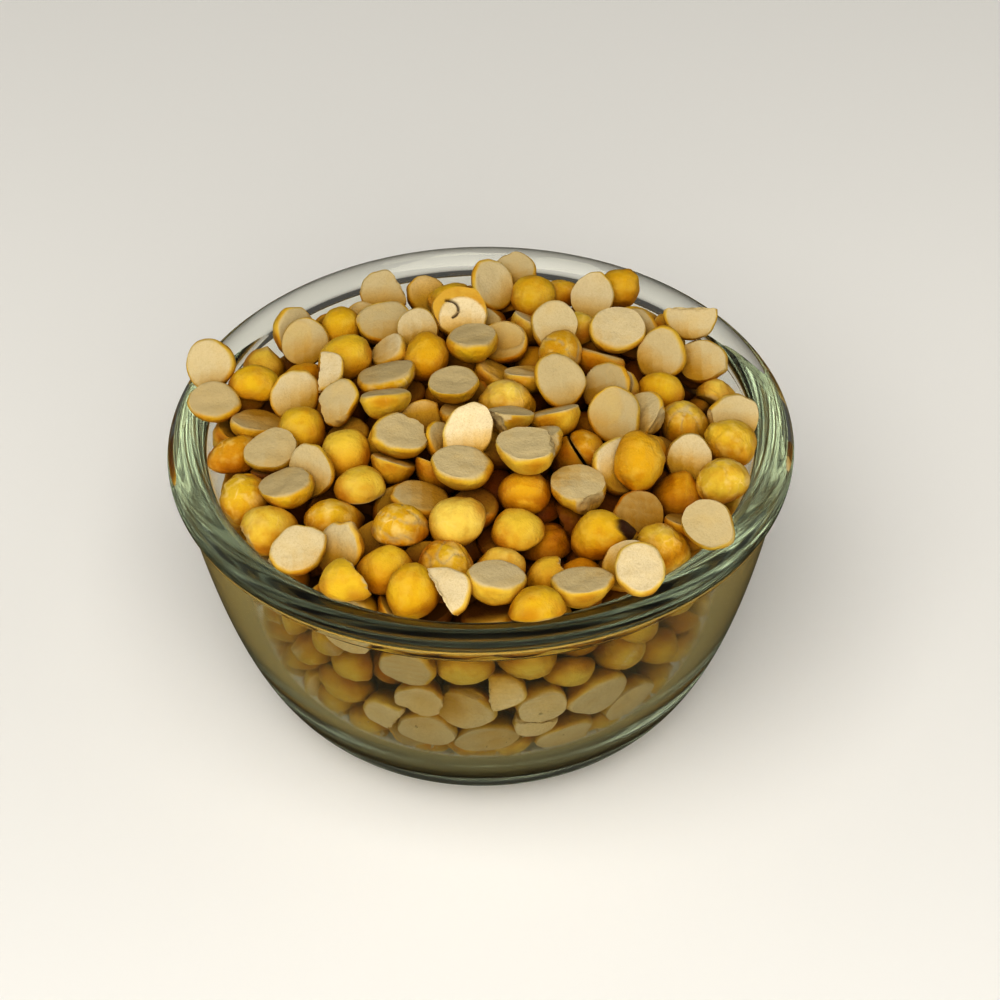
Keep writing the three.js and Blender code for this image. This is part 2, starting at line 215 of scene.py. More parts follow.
# Halves on top of the heap as the photograph shows them, from the back to the front.
# Each row has the pixel at the half's middle, its kind and what it turns to the viewer; then how many
# degrees that side looks to the right of the viewer and above the horizon, where the beak points in
# degrees round from the picture's right, the size, the tone of the skin, how rubbed it is, and how many
# millimetres it lies under the top.
FACE, DOME = -1, 1
SINK = {FACE: 1.2, DOME: 1.8}  # how far the half's middle is under the spot that shows
WALL_SINK = {FACE: 1.6, DOME: 2.3}
LANDMARK_ROOM = 4.4
LANDMARKS = (
    ((387, 282), "chipped", FACE, (-5, 54), 120, 1.0, 0.4, 0.2, 3),
    ((415, 284), "round", FACE, (8, 54), 90, 0.95, 0.45, 0.2, 4),
    ((468, 292), "wrinkled", DOME, (-10, 80), 20, 0.95, 0.6, 0.3, 1),
    ((494, 290), "round", FACE, (20, 38), 90, 1.05, 0.35, 0.2, 0),
    ((517, 275), "chipped", FACE, (20, 82), -28, 1.0, 0.6, 0.2, 0),
    ((533, 300), "plump", DOME, (0, 60), 90, 0.95, 0.7, 0.2, 0),
    ((592, 298), "round", FACE, (-10, 44), 80, 0.98, 0.3, 0.2, 0),
    ((625, 292), "plump", DOME, (0, 70), 30, 0.95, 0.85, 0.2, 1),
    ((640, 304), "beaked", DOME, (20, 75), 25, 1.05, 0.6, 0.3, 0),
    ((347, 315), "plump", DOME, (10, 50), 90, 0.85, 0.7, 0.3, 0),
    ((382, 309), "chipped", FACE, (-14, 78), 10, 1.08, 0.6, 0.2, 0),
    ((418, 322), "round", FACE, (-20, 36), 260, 0.95, 0.3, 0.2, 1),
    ((459, 314), "crescent", FACE, (4, 50), 0, 1.1, 0.15, 0.2, 0),
    ((285, 333), "round", FACE, (34, 40), 80, 1.0, 0.4, 0.2, 2),
    ((320, 326), "stepped", FACE, (28, 50), 60, 1.0, 0.5, 0.3, 0),
    ((693, 322), "broken", FACE, (4, 50), 90, 1.08, 0.35, 0.2, 0),
    ((553, 331), "round", FACE, (8, 60), 90, 1.02, 0.35, 0.2, 0),
    ((607, 332), "round", FACE, (-8, 72), 0, 1.12, 0.3, 0.2, 0),
    ((648, 332), "round", FACE, (-32, 46), 80, 1.0, 0.85, 0.2, 1),
    ((507, 339), "stepped", FACE, (-5, 56), 150, 1.0, 0.6, 0.3, 0),
    ((457, 347), "round", FACE, (25, 98), -20, 1.05, 0.65, 0.2, 0),
    ((353, 348), "plump", DOME, (5, 75), 200, 1.08, 0.55, 0.3, 0),
    ((425, 354), "plump", DOME, (-15, 42), 90, 1.0, 0.85, 0.3, 1),
    ((549, 356), "cracked", DOME, (0, 70), 90, 0.95, 0.9, 0.7, 1),
    ((676, 353), "round", FACE, (-20, 44), 80, 1.02, 0.5, 0.2, 1),
    ((712, 362), "beaked", FACE, (5, 56), -20, 0.96, 0.4, 0.2, 2),
    ((258, 362), "beaked", DOME, (0, 44), 95, 0.95, 0.8, 0.2, 0),
    ((295, 360), "plump", DOME, (-10, 90), 20, 1.0, 0.7, 0.4, 0),
    ((648, 369), "plump", DOME, (-8, 62), 160, 0.95, 0.65, 0.1, 0),
    ((697, 370), "round", FACE, (-15, 42), 90, 0.95, 0.9, 0.2, 5),
    ((213, 377), "round", FACE, (-6, 46), 100, 1.02, 0.35, 0.2, -1),
    ((392, 374), "cracked", FACE, (2, 108), 0, 1.15, 0.7, 0.9, 0),
    ((325, 378), "broken", FACE, (0, 62), 200, 0.95, 0.2, 0.6, 0),
    ((592, 376), "round", FACE, (-36, 42), 90, 1.0, 0.85, 0.2, 0),
    ((620, 378), "round", FACE, (-46, 36), 90, 0.98, 0.5, 0.2, 1),
    ((502, 381), "wrinkled", DOME, (0, 58), 0, 1.05, 0.15, 0.9, 0),
    ((556, 386), "round", FACE, (32, 64), 105, 1.06, 0.55, 0.2, 0),
    ((457, 383), "round", FACE, (30, 112), -10, 1.0, 0.6, 0.3, 0),
    ((267, 391), "plump", DOME, (-20, 95), 25, 1.0, 0.65, 0.3, 0),
    ((292, 392), "round", FACE, (-20, 50), 60, 1.0, 0.3, 0.2, 2),
    ((348, 397), "chipped", FACE, (-32, 54), 60, 0.95, 0.5, 0.2, 0),
    ((395, 402), "chipped", FACE, (8, 116), 0, 1.0, 0.5, 0.4, 0),
    ((213, 405), "round", FACE, (-10, 70), 0, 1.0, 0.75, 0.2, -1),
    ((680, 411), "cracked", DOME, (5, 50), 120, 1.08, 0.3, 0.9, 0),
    ((737, 412), "chipped", FACE, (5, 52), 30, 1.06, 0.4, 0.2, -1),
    ((605, 417), "stepped", FACE, (-20, 52), 110, 1.1, 0.65, 0.3, 0),
    ((641, 419), "chipped", FACE, (-48, 42), 80, 1.0, 0.45, 0.3, 0),
    ((505, 418), "chipped", FACE, (5, 112), 0, 0.95, 0.4, 0.3, 0),
    ((555, 418), "round", FACE, (12, 118), -15, 1.0, 0.5, 0.3, 0),
    ((257, 421), "round", FACE, (-32, 100), 25, 1.0, 0.6, 0.3, 0),
    ((303, 422), "plump", DOME, (0, 48), 270, 1.02, 0.58, 0.3, 0),
    ((467, 432), "round", FACE, (5, 46), 70, 1.08, 0.1, 0.2, 0),
    ((547, 441), "chipped", FACE, (15, 112), 0, 1.0, 0.45, 0.3, 0),
    ((407, 443), "chipped", FACE, (-8, 80), 20, 1.14, 0.5, 0.3, 0),
    ((731, 447), "wrinkled", DOME, (5, 65), -30, 1.0, 0.5, 0.6, 0),
    ((345, 452), "plump", DOME, (-25, 62), -40, 1.02, 0.35, 0.3, 0),
    ((653, 450), "plump", DOME, (-20, 80), 40, 0.9, 0.75, 0.1, 0),
    ((263, 452), "round", FACE, (-36, 80), 40, 1.02, 0.6, 0.3, 0),
    ((690, 461), "round", FACE, (0, 48), 90, 1.0, 0.3, 0.2, 2),
    ((223, 462), "wrinkled", DOME, (-10, 65), 30, 1.0, 0.95, 0.6, 0),
    ((312, 467), "round", FACE, (-42, 48), 110, 1.02, 0.4, 0.3, 0),
    ((609, 466), "round", FACE, (0, 46), 90, 1.02, 0.25, 0.2, 2),
    ((548, 472), "chipped", FACE, (5, 92), -25, 1.1, 0.4, 0.2, 0),
    ((450, 473), "round", FACE, (0, 98), 0, 1.1, 0.4, 0.2, 0),
    ((633, 481), "plump", DOME, (0, 44), 90, 1.04, 0.88, 0.0, 0),
    ((680, 480), "plump", DOME, (0, 60), 60, 0.95, 0.72, 0.2, 0),
    ((737, 487), "wrinkled", DOME, (10, 60), 30, 1.0, 0.4, 0.9, 0),
    ((281, 492), "round", FACE, (40, 100), -25, 1.05, 0.65, 0.4, 0),
    ((353, 489), "chipped", DOME, (0, 90), 0, 0.95, 0.3, 0.4, 0),
    ((418, 493), "round", FACE, (44, 98), -35, 1.05, 0.5, 0.3, 0),
    ((523, 494), "plump", DOME, (-10, 80), 15, 1.0, 0.6, 0.3, 0),
    ((677, 505), "round", FACE, (0, 118), -8, 1.0, 0.65, 0.3, 0),
    ((588, 503), "chipped", FACE, (0, 90), 0, 1.05, 0.45, 0.3, 0),
    ((245, 514), "wrinkled", DOME, (0, 56), 120, 1.0, 0.6, 1.0, 0),
    ((336, 515), "beaked", DOME, (0, 72), 20, 1.08, 0.7, 0.7, 0),
    ((462, 518), "plump", DOME, (-35, 55), 60, 1.02, 0.15, 0.4, 0),
    ((407, 527), "cracked", DOME, (0, 88), 0, 1.0, 0.8, 0.8, 0),
    ((512, 526), "plump", DOME, (0, 88), 0, 0.98, 0.4, 0.3, 0),
    ((288, 530), "chipped", DOME, (8, 75), -40, 1.1, 0.3, 0.5, 0),
    ((709, 531), "beaked", FACE, (12, 52), -45, 1.02, 0.5, 0.2, -1),
    ((606, 536), "burnt", DOME, (-16, 68), -8, 1.04, 0.75, 0.0, -1),
    ((668, 548), "wrinkled", DOME, (6, 48), 60, 1.1, 0.4, 0.7, 0),
    ((349, 551), "beaked", FACE, (-28, 44), 60, 1.0, 0.35, 0.2, 0),
    ((391, 556), "plump", DOME, (0, 85), 0, 1.02, 0.55, 0.3, 0),
    ((577, 554), "plump", DOME, (25, 70), 120, 0.98, 0.7, 0.2, 0),
    ((515, 559), "plump", DOME, (-10, 70), 30, 1.0, 0.15, 0.5, 0),
    ((457, 563), "split", DOME, (0, 52), 265, 1.12, 0.6, 0.9, 0),
    ((538, 568), "broken", DOME, (10, 65), 40, 1.05, 0.35, 0.4, 0),
    ((641, 571), "beaked", FACE, (6, 52), 10, 1.0, 0.25, 0.2, 1),
    ((616, 578), "round", FACE, (-4, 50), 90, 1.0, 0.2, 0.2, -1),
    ((312, 573), "round", FACE, (-10, 46), 30, 1.0, 0.3, 0.2, 1),
    ((420, 583), "plump", DOME, (-10, 46), 80, 1.02, 0.7, 0.2, 0),
    ((343, 587), "broken", DOME, (0, 80), 0, 1.05, 0.55, 0.2, 0),
    ((500, 592), "round", FACE, (0, 96), -10, 1.05, 0.35, 0.3, 0),
    ((565, 592), "round", FACE, (-4, 94), -5, 1.08, 0.4, 0.3, 0),
    ((450, 604), "broken", FACE, (-10, 52), 200, 1.05, 0.2, 0.6, 0),
    ((533, 613), "plump", DOME, (0, 85), 0, 1.0, 0.7, 0.2, 0),
)

# Halves that lie against the glass under the rim, in rows as above but without a direction and a depth
WALL_LANDMARKS = (
    ((343, 674), "plump", DOME, 20, 1.0, 0.5, 0.3),
    ((411, 666), "round", FACE, 0, 1.0, 0.8, 0.2),
    ((458, 671), "plump", DOME, 10, 1.0, 0.4, 0.2),
    ((545, 674), "wrinkled", DOME, 30, 1.0, 0.45, 0.3),
    ((583, 674), "plump", DOME, 40, 1.0, 0.5, 0.3),
    ((626, 668), "cracked", DOME, 60, 1.08, 0.45, 0.8),
    ((384, 690), "cracked", DOME, 100, 1.0, 0.85, 0.9),
    ((412, 702), "chipped", FACE, 60, 0.95, 0.25, 0.3),
    ((516, 696), "broken", FACE, 150, 1.0, 0.05, 0.5),
    ((600, 700), "round", FACE, 30, 1.12, 0.6, 0.2),
    ((638, 700), "round", FACE, 40, 1.0, 0.45, 0.2),
    ((343, 704), "wrinkled", DOME, 120, 1.0, 0.5, 0.4),
    ((456, 712), "chipped", FACE, -20, 1.14, 0.45, 0.2),
    ((382, 721), "broken", FACE, 0, 1.0, 0.2, 0.3),
    ((550, 710), "round", FACE, 80, 0.95, 0.3, 0.2),
    ((430, 737), "round", FACE, 0, 1.02, 0.5, 0.2),
    ((490, 740), "round", FACE, 0, 1.1, 0.7, 0.3),
    ((567, 735), "round", FACE, 25, 1.12, 0.55, 0.3),
    ((528, 735), "broken", FACE, 85, 0.95, 0.2, 0.2),
)


# Objects, and meshes from arrays

def add_object(name, data):
    """A new object in the scene."""
    thing = bpy.data.objects.new(name, data)
    bpy.context.scene.collection.objects.link(thing)
    return thing


def mesh_object(name, vertices, triangles, material, sharp_angle):
    """A mesh piece in metres from arrays of places in millimetres and of triangles."""
    mesh = bpy.data.meshes.new(name)
    mesh.vertices.add(len(vertices))
    mesh.vertices.foreach_set("co", (np.asarray(vertices) * MM).astype(np.float32).ravel())
    mesh.loops.add(3 * len(triangles))
    mesh.loops.foreach_set("vertex_index", np.asarray(triangles, np.int32).ravel())
    mesh.polygons.add(len(triangles))
    mesh.polygons.foreach_set("loop_start", np.arange(0, 3 * len(triangles), 3, dtype=np.int32))
    mesh.polygons.foreach_set("use_smooth", np.ones(len(triangles), bool))
    mesh.update(calc_edges=True)
    mesh.set_sharp_from_angle(angle=sharp_angle)
    mesh.materials.append(material)
    return add_object(name, mesh)


def give_attribute(piece, name, values):
    """Stores one number or one vector for each vertex."""
    values = np.asarray(values, np.float32)
    kind, field = ("FLOAT", "value") if values.ndim == 1 else ("FLOAT_VECTOR", "vector")
    layer = piece.data.attributes.new(name, kind, "POINT")
    layer.data.foreach_set(field, values.ravel())


def ring_triangles(rings, segments):
    """Triangles between rings of vertex numbers; a ring of one number is a pole."""
    triangles = []
    for low, high in zip(rings, rings[1:]):
        for k in range(segments):
            n = (k + 1) % segments
            if len(low) > 1:
                triangles.append((low[k], low[n], high[k % len(high)]))
            if len(high) > 1:
                triangles.append((low[n % len(low)], high[n], high[k]))
    return np.array(triangles, np.int32)


def number_rings(counts):
    """Vertex numbers of rings that follow one another, given how many vertices each has."""
    starts = np.concatenate([[0], np.cumsum(counts)])
    return [list(range(a, b)) for a, b in zip(starts, starts[1:])]


def waves(draw, places, length, count=7):
    """A smooth uneven field over places, about -1 to 1, from waves of about one length."""
    field = np.zeros(len(places))
    for _ in range(count):
        way = Vector([draw.gauss(0, 1) for _ in range(3)]).normalized()
        pace = 2 * math.pi / (length * draw.uniform(0.75, 1.4))
        field += np.sin(places @ np.array(way) * pace + draw.uniform(0, 2 * math.pi))
    return field / math.sqrt(count)


def random_turn(draw):
    """Any turn, each as likely as another."""
    return Quaternion([draw.gauss(0, 1) for _ in range(4)]).normalized()


# Glass

def bezier(controls, steps):
    t = np.linspace(0, 1, steps + 1)[:, None]
    a, b, c, d = np.array(controls, float)
    return (1 - t) ** 3 * a + 3 * (1 - t) ** 2 * t * b + 3 * (1 - t) * t**2 * c + t**3 * d


def inner_wall(steps):
    """The inside of the bowl as radius and height, from the bead down to the floor."""
    return bezier((
        (INNER_RIM_RADIUS, BEAD_MIDDLE),
        INNER_UPPER,
        INNER_LOWER,
        (INNER_FLOOR_RADIUS, FLOOR_THICKNESS),
    ), steps)


def outer_wall(steps):
    """The outside of the bowl, from its foot up to the bead."""
    return bezier((
        (FOOT_RADIUS, 0),
        OUTER_LOWER,
        OUTER_UPPER,
        (INNER_RIM_RADIUS + WALL_THICKNESS, BOWL_HEIGHT - RIM_DEPTH - BEAD_GROOVE),
    ), steps)


def bead(steps):
    """The rim's rounded bead, from its underside over the top to the inner wall."""
    turn = np.linspace(BEAD_START, math.pi, steps + 1)
    across = BEAD_CENTRE + RIM_WIDTH / 2 * np.cos(turn)
    return np.stack([across, BEAD_MIDDLE + RIM_DEPTH / 2 * np.sin(turn)], 1)


def bowl_outline(curve_steps, bead_steps):
    """The bowl's section from the middle of its foot round to the middle of its floor."""
    return np.vstack([
        [(0, 0), (0.5 * FOOT_RADIUS, 0)],
        outer_wall(curve_steps),
        bead(bead_steps),
        inner_wall(curve_steps)[1:],
        [(0.5 * INNER_FLOOR_RADIUS, FLOOR_THICKNESS), (0, FLOOR_THICKNESS)],
    ])


def turned(outline, segments):
    """Vertices and triangles of an outline that starts and ends on the axis, turned about it."""
    counts = [1 if radius < 1e-6 else segments for radius, _ in outline]
    angles = 2 * math.pi * np.arange(segments) / segments
    rows = []
    for count, (radius, height) in zip(counts, outline):
        turn = angles[:count]
        rows.append(np.stack([radius * np.cos(turn), radius * np.sin(turn), np.full(count, height)], 1))
    return np.vstack(rows), ring_triangles(number_rings(counts), segments)


def glass_bowl(material):
    vertices, triangles = turned(bowl_outline(GLASS_CURVE_STEPS, GLASS_BEAD_STEPS), GLASS_SEGMENTS)
    return mesh_object("glass_bowl", vertices, triangles, material, GLASS_CREASE)


# Gram halves

class HalfGrid:
    """How a half's vertices lie, in rings from the middle of its flat face to the top of its dome."""

    def __init__(self, segments, flat_rings, dome_rings):
        flat = [(step / flat_rings) ** FLAT_SPACING for step in range(flat_rings + 1)]
        shoulder = [(step + 1) / SHOULDER_RINGS for step in range(SHOULDER_RINGS)]
        angles = [DOME_END * math.pi / 2 * (step + DOME_START) / dome_rings for step in range(dome_rings)]
        dome = [math.cos(angle) ** DOME_SPACING for angle in angles]
        section = [(radius, 0.0) for radius in flat] + [(1.0, part) for part in shoulder]
        section += [(radius, 2.0) for radius in [*dome, 0.0]]
        counts = [1 if radius == 0 else segments for radius, _ in section]
        self.rings = number_rings(counts)
        self.edge_ring = flat_rings
        self.triangles = ring_triangles(self.rings, segments)
        self.round = np.repeat([radius for radius, _ in section], counts)
        part = np.repeat([part for _, part in section], counts)
        self.flat = part == 0
        self.dome = part == 2
        self.shoulder = np.minimum(part, 1)
        self.border = np.clip((self.round - BORDER_START) / BORDER_WIDTH, 0, 1)
        self.turn = np.concatenate([2 * math.pi * np.arange(count) / segments for count in counts])

    def hull(self):
        """The vertices that the simple shape for falling is made of."""
        last = len(self.rings) - 1
        widest = self.edge_ring + SHOULDER_RINGS
        picked = [self.rings[self.edge_ring][::2], self.rings[widest][::2]]
        picked += [self.rings[(widest + last) // 2][1::2], self.rings[last - 2][::4], self.rings[last]]
        return np.concatenate(picked)


COARSE = HalfGrid(*COARSE_HALF)
FINE = HalfGrid(*FINE_HALF)
CLOSE = HalfGrid(*CLOSE_HALF)
MARKED = HalfGrid(*MARKED_HALF)


class Half:
    """One half of a gram: places in millimetres, and how pale, how dark at the border (toasting and painted
    shade) and how burnt each of them is.
    """

    def __init__(self, seed, kind, grid, size=None):
        draw = random.Random(seed)
        self.grid = grid
        drawn = min(1.12, max(0.84, draw.gauss(0.985, 0.06)))
        size = size or drawn
        self.length = GRAM_LENGTH * size * draw.uniform(0.97, 1.05)
        self.width = GRAM_WIDTH * size * draw.uniform(0.94, 1.05)
        self.thickness = GRAM_THICKNESS * size * draw.uniform(0.88, 1.1)
        self.burnt = np.zeros(len(grid.turn))
        self.shape(draw, kind)
        self.relief(draw, kind)
        self.breaks(draw, kind)

    def shape(self, draw, kind):
        """Puts the section and the outline together, and lets the whole lean."""
        grid, turn = self.grid, self.grid.turn
        wide, rise = self.section(draw, kind)
        self.colours(draw)
        across = grid.round * wide * self.outline(draw, kind)
        self.places = np.stack([
            across * np.cos(turn) * self.length / 2,
            across * np.sin(turn) * self.width / 2,
            rise * self.thickness,
        ], 1)
        lean = np.array([draw.uniform(-0.16, 0.16), draw.uniform(-0.16, 0.16)])
        self.places[:, :2] += self.places[:, 2:] * lean

    def section(self, draw, kind):
        """How wide and how high each place is, on the flat face, the shoulder round it and the dome."""
        grid = self.grid
        face = draw.uniform(0.85, 0.97)
        face = face + draw.uniform(0, 0.07) * np.cos(grid.turn - draw.uniform(0, PHASE))
        face = np.minimum(face, 0.98)
        angle = SHOULDER_CORNER + (math.pi / 2 - SHOULDER_CORNER) * grid.shoulder
        wide = (np.sin(angle) - math.sin(SHOULDER_CORNER)) / (1 - math.sin(SHOULDER_CORNER))
        high = 1 - np.cos(angle) / math.cos(SHOULDER_CORNER)
        edge = draw.uniform(0.12, 0.24)
        fullness = draw.uniform(2.2, 2.7) if kind == "plump" else draw.uniform(1.9, 2.4)
        rise = edge * high + (1 - edge) * (1 - grid.round**fullness) ** DOME_ROUNDING * grid.dome
        return face + (1 - face) * wide, rise

    def colours(self, draw):
        """Pale flesh on the face and, unevenly, on the shoulder, and a darker border of the skin, partly
        toasting and partly painted shade.
        """
        grid, turn = self.grid, self.grid.turn
        bare = np.sin(2 * turn + draw.uniform(0, PHASE)) + np.sin(5 * turn + draw.uniform(0, PHASE))
        self.pale = np.clip(1.0 - 2.2 * grid.shoulder + 0.3 * bare * (grid.shoulder > 0), 0, 1)
        self.pale[grid.dome] = 0
        # The skin darkens over the shoulder and towards the dome's edge: partly toasting, partly painted
        # shade at the rim
        border = np.where(grid.dome, grid.border, grid.shoulder)
        self.toast = np.clip(border * (0.4 - 0.3 * bare), 0, 0.8)

    def outline(self, draw, kind):
        """How far out each place lies against a round outline, with lobes, a ragged border and a beak."""
        grid, turn = self.grid, self.grid.turn
        outline = np.ones(len(turn))
        for lobes, depth in LOBES:
            outline += depth * draw.uniform(-1, 1) * np.cos(lobes * turn + draw.uniform(0, PHASE))
        for lobes in RAGGED_LOBES:
            depth = RAGGED_DEPTH * draw.uniform(-1, 1)
            outline += depth * grid.border * np.cos(lobes * turn + draw.uniform(0, PHASE))
        away = np.angle(np.exp(1j * turn))
        tip = np.exp(-np.abs(away / draw.uniform(0.18, 0.28)) ** 1.4)
        beak = draw.uniform(0.10, 0.18) if kind in ("beaked", "burnt") else draw.uniform(0, 0.05)
        outline += beak * tip * grid.round**2
        if kind == "beaked":
            self.pale = np.maximum(self.pale, 0.6 * tip * (grid.round > BORDER_START))
        if kind == "burnt":
            lump = np.exp(-((away / 0.42) ** 4)) * grid.round**2
            outline += 0.1 * lump
            self.burnt = np.clip(5 * lump - 1.6, 0, 1)
        return outline

    def relief(self, draw, kind):
        """The dished uneven face, and the relief of the skin."""
        grid, places = self.grid, self.places
        flat = grid.flat
        inner = (1 - grid.round) * flat
        places[:, 2] += draw.uniform(-0.15, 0.2) * np.sqrt(inner)
        bend = draw.uniform(-0.016, 0.016)
        places[:, 2] += bend * (places[:, 0] ** 2 - places[:, 1] ** 2)
        places[:, 2] += FACE_RELIEF * waves(draw, places, 3.0) * flat * (1 - grid.round**4)
        if kind == "stepped":
            self.step(draw, flat)
        if kind == "crescent":
            self.crescent(flat)
        swell = self.swelling(draw, kind)
        middle = np.array([0, 0, 0.3 * self.thickness])
        self.places = middle + (places - middle) * (1 + swell)[:, None]

    def swelling(self, draw, kind):
        """How much each place swells or sinks, with the dents, folds and cracks of the skin."""
        places, skin = self.places, self.grid.dome.astype(float)
        swell = 0.02 * waves(draw, places, 4.4) + 0.014 * skin * waves(draw, places, 1.9)
        for _ in range(draw.choice((1, 2, 3))):
            away = places - places[draw.randrange(len(places))]
            reach = draw.uniform(0.9, 1.7)
            dent = draw.uniform(0.02, 0.07)
            swell -= dent * skin * np.exp(-(np.sum(away**2, 1) / reach**2))
        if kind in ("wrinkled", "split"):
            folds = np.abs(waves(draw, places, 4.6))
            swell -= FOLD_DEPTH * np.exp(-((folds / 0.3) ** 2)) * skin
            swell += 0.014 * waves(draw, places, 1.6) * skin
        if kind in ("cracked", "split"):
            line = np.exp(-((waves(draw, places, 5.0, 5) / 0.12) ** 2)) * skin
            swell -= CRACK_DEPTH * line
            self.pale = np.maximum(self.pale, 0.8 * line)
        if kind == "split":
            gap = np.exp(-((places[:, 1] / SPLIT_WIDTH) ** 2)) * (places[:, 0] > SPLIT_START) * skin
            swell -= SPLIT_DEPTH * gap
            self.burnt = np.maximum(self.burnt, 0.5 * gap)
        return swell

    def step(self, draw, flat):
        """A face that split on two levels, with an oval a little lower than its border."""
        side = draw.uniform(0, 2 * math.pi)
        x = self.places[:, 0] / self.length - 0.26 * math.cos(side)
        y = self.places[:, 1] / self.width - 0.26 * math.sin(side)
        reach = 0.42 + 0.03 * waves(draw, self.places, 4.0)
        inside = np.clip((reach - np.hypot(x, y)) / 0.06, 0, 1)
        self.places[:, 2] += draw.uniform(0.2, 0.4) * inside * flat
        self.pale -= 0.15 * inside * flat

    def crescent(self, flat):
        """A face that the skin overlaps in a crescent, with a dark crack that hooks in from its border."""
        x = self.places[:, 0] / self.length
        y = self.places[:, 1] / self.width
        reach = np.hypot(x - FLAP_MIDDLE[0], y - FLAP_MIDDLE[1])
        flap = np.clip((reach - FLAP_REACH) / 0.02, 0, 1) * flat
        self.pale -= flap
        self.toast = np.maximum(self.toast, 0.55 * flap)
        self.places[:, 2] -= FLAP_THICKNESS * flap
        x -= HOOK_MIDDLE[0]
        y -= HOOK_MIDDLE[1]
        hook = np.exp(-(((np.hypot(x, y) - HOOK_RADIUS) / HOOK_WIDTH) ** 2))
        crack = hook * (np.abs(np.arctan2(y, x) + 0.4) < 1.6) * flat
        self.places[:, 2] += HOOK_DEPTH * crack
        self.burnt = np.maximum(self.burnt, 0.9 * crack)

    def breaks(self, draw, kind):
        """Chips off the edge, or a good part of the half broken off."""
        if kind == "chipped":
            for _ in range(draw.choice((1, 2, 2))):
                self.cut(draw, *CHIP)
        if kind in ("broken", "fragment"):
            self.cut(draw, *BREAK)
        if kind == "fragment":
            self.cut(draw, *SECOND_BREAK)

    def cut(self, draw, sides, slants, offsets, roughness):
        """Breaks off what lies beyond a plane, which leaves a rough pale face."""
        side = draw.uniform(*sides)
        normal = np.array(Vector((math.cos(side), math.sin(side), draw.uniform(*slants))).normalized())
        offset = draw.uniform(*offsets) * self.width / 2
        rough = roughness * waves(draw, self.places, 1.3)
        beyond = self.places @ normal - offset - rough
        gone = beyond > 0
        self.places[gone] -= beyond[gone, None] * normal
        self.pale[gone] = 0.9


# Falling into the bowl

@dataclass
class Body:
    """A half on its way into the heap: how it is made, and its turn and place in millimetres."""
    seed: int
    kind: str
    tone: float
    worn: float
    turn: Quaternion
    place: Vector
    size: float = None
    landmark: bool = False

    def half(self, grid):
        return Half(self.seed, self.kind, grid, self.size)

    def hull(self):
        return self.half(COARSE).places[COARSE.hull()]


def column(draw):
    """Halves above one another in staggered layers, narrower inside the bowl."""
    bodies = []
    height = COLUMN_START
    while len(bodies) < PIECES + FRAGMENTS:
        reach = min(COLUMN_RADIUS, INNER_FLOOR_RADIUS + COLUMN_FLARE * (height - FLOOR_THICKNESS))
        count = int(reach // COLUMN_STEP) + 1
        layer = []
        for i in range(-count, count + 1):
            for j in range(-count, count + 1):
                x = (i + 0.5 * (j % 2)) * COLUMN_STEP
                y = j * COLUMN_STEP * math.sqrt(3) / 2
                if math.hypot(x, y) <= reach:
                    x += draw.uniform(-COLUMN_SHAKE, COLUMN_SHAKE)
                    y += draw.uniform(-COLUMN_SHAKE, COLUMN_SHAKE)
                    layer.append((x, y, height))
        draw.shuffle(layer)
        for spot in layer:
            fragment = len(bodies) >= PIECES
            kind = "fragment" if fragment else draw.choices(KINDS, KIND_SHARES)[0]
            turn = random_turn(draw)
            size = draw.uniform(0.45, 0.7) if fragment else None
            seed, tone, worn = draw.randrange(SEED_LIMIT), draw.random(), draw.random()
            bodies.append(Body(seed, kind, tone, worn, turn, Vector(spot), size))
        height += LAYER_STEP
    return bodies[:PIECES + FRAGMENTS]


def sim_object(name, vertices, triangles):
    mesh = bpy.data.meshes.new(name)
    mesh.from_pydata((np.asarray(vertices) * SIM_UNIT).tolist(), [], np.asarray(triangles).tolist())
    return add_object(name, mesh)


def add_rigid(things, kind, shape, friction):
    """Makes objects fall, or stay, as rigid bodies."""
    for other in bpy.context.selected_objects:
        other.select_set(False)
    for thing in things:
        thing.select_set(True)
    bpy.context.view_layer.objects.active = things[0]
    bpy.ops.rigidbody.objects_add(type=kind)
    for thing in things:
        rigid = thing.rigid_body
        rigid.collision_shape = shape
        rigid.friction = friction
        rigid.restitution = 0.0
        rigid.use_margin = True
        rigid.collision_margin = 0.01
        rigid.linear_damping = 0.06
        rigid.angular_damping = 0.2


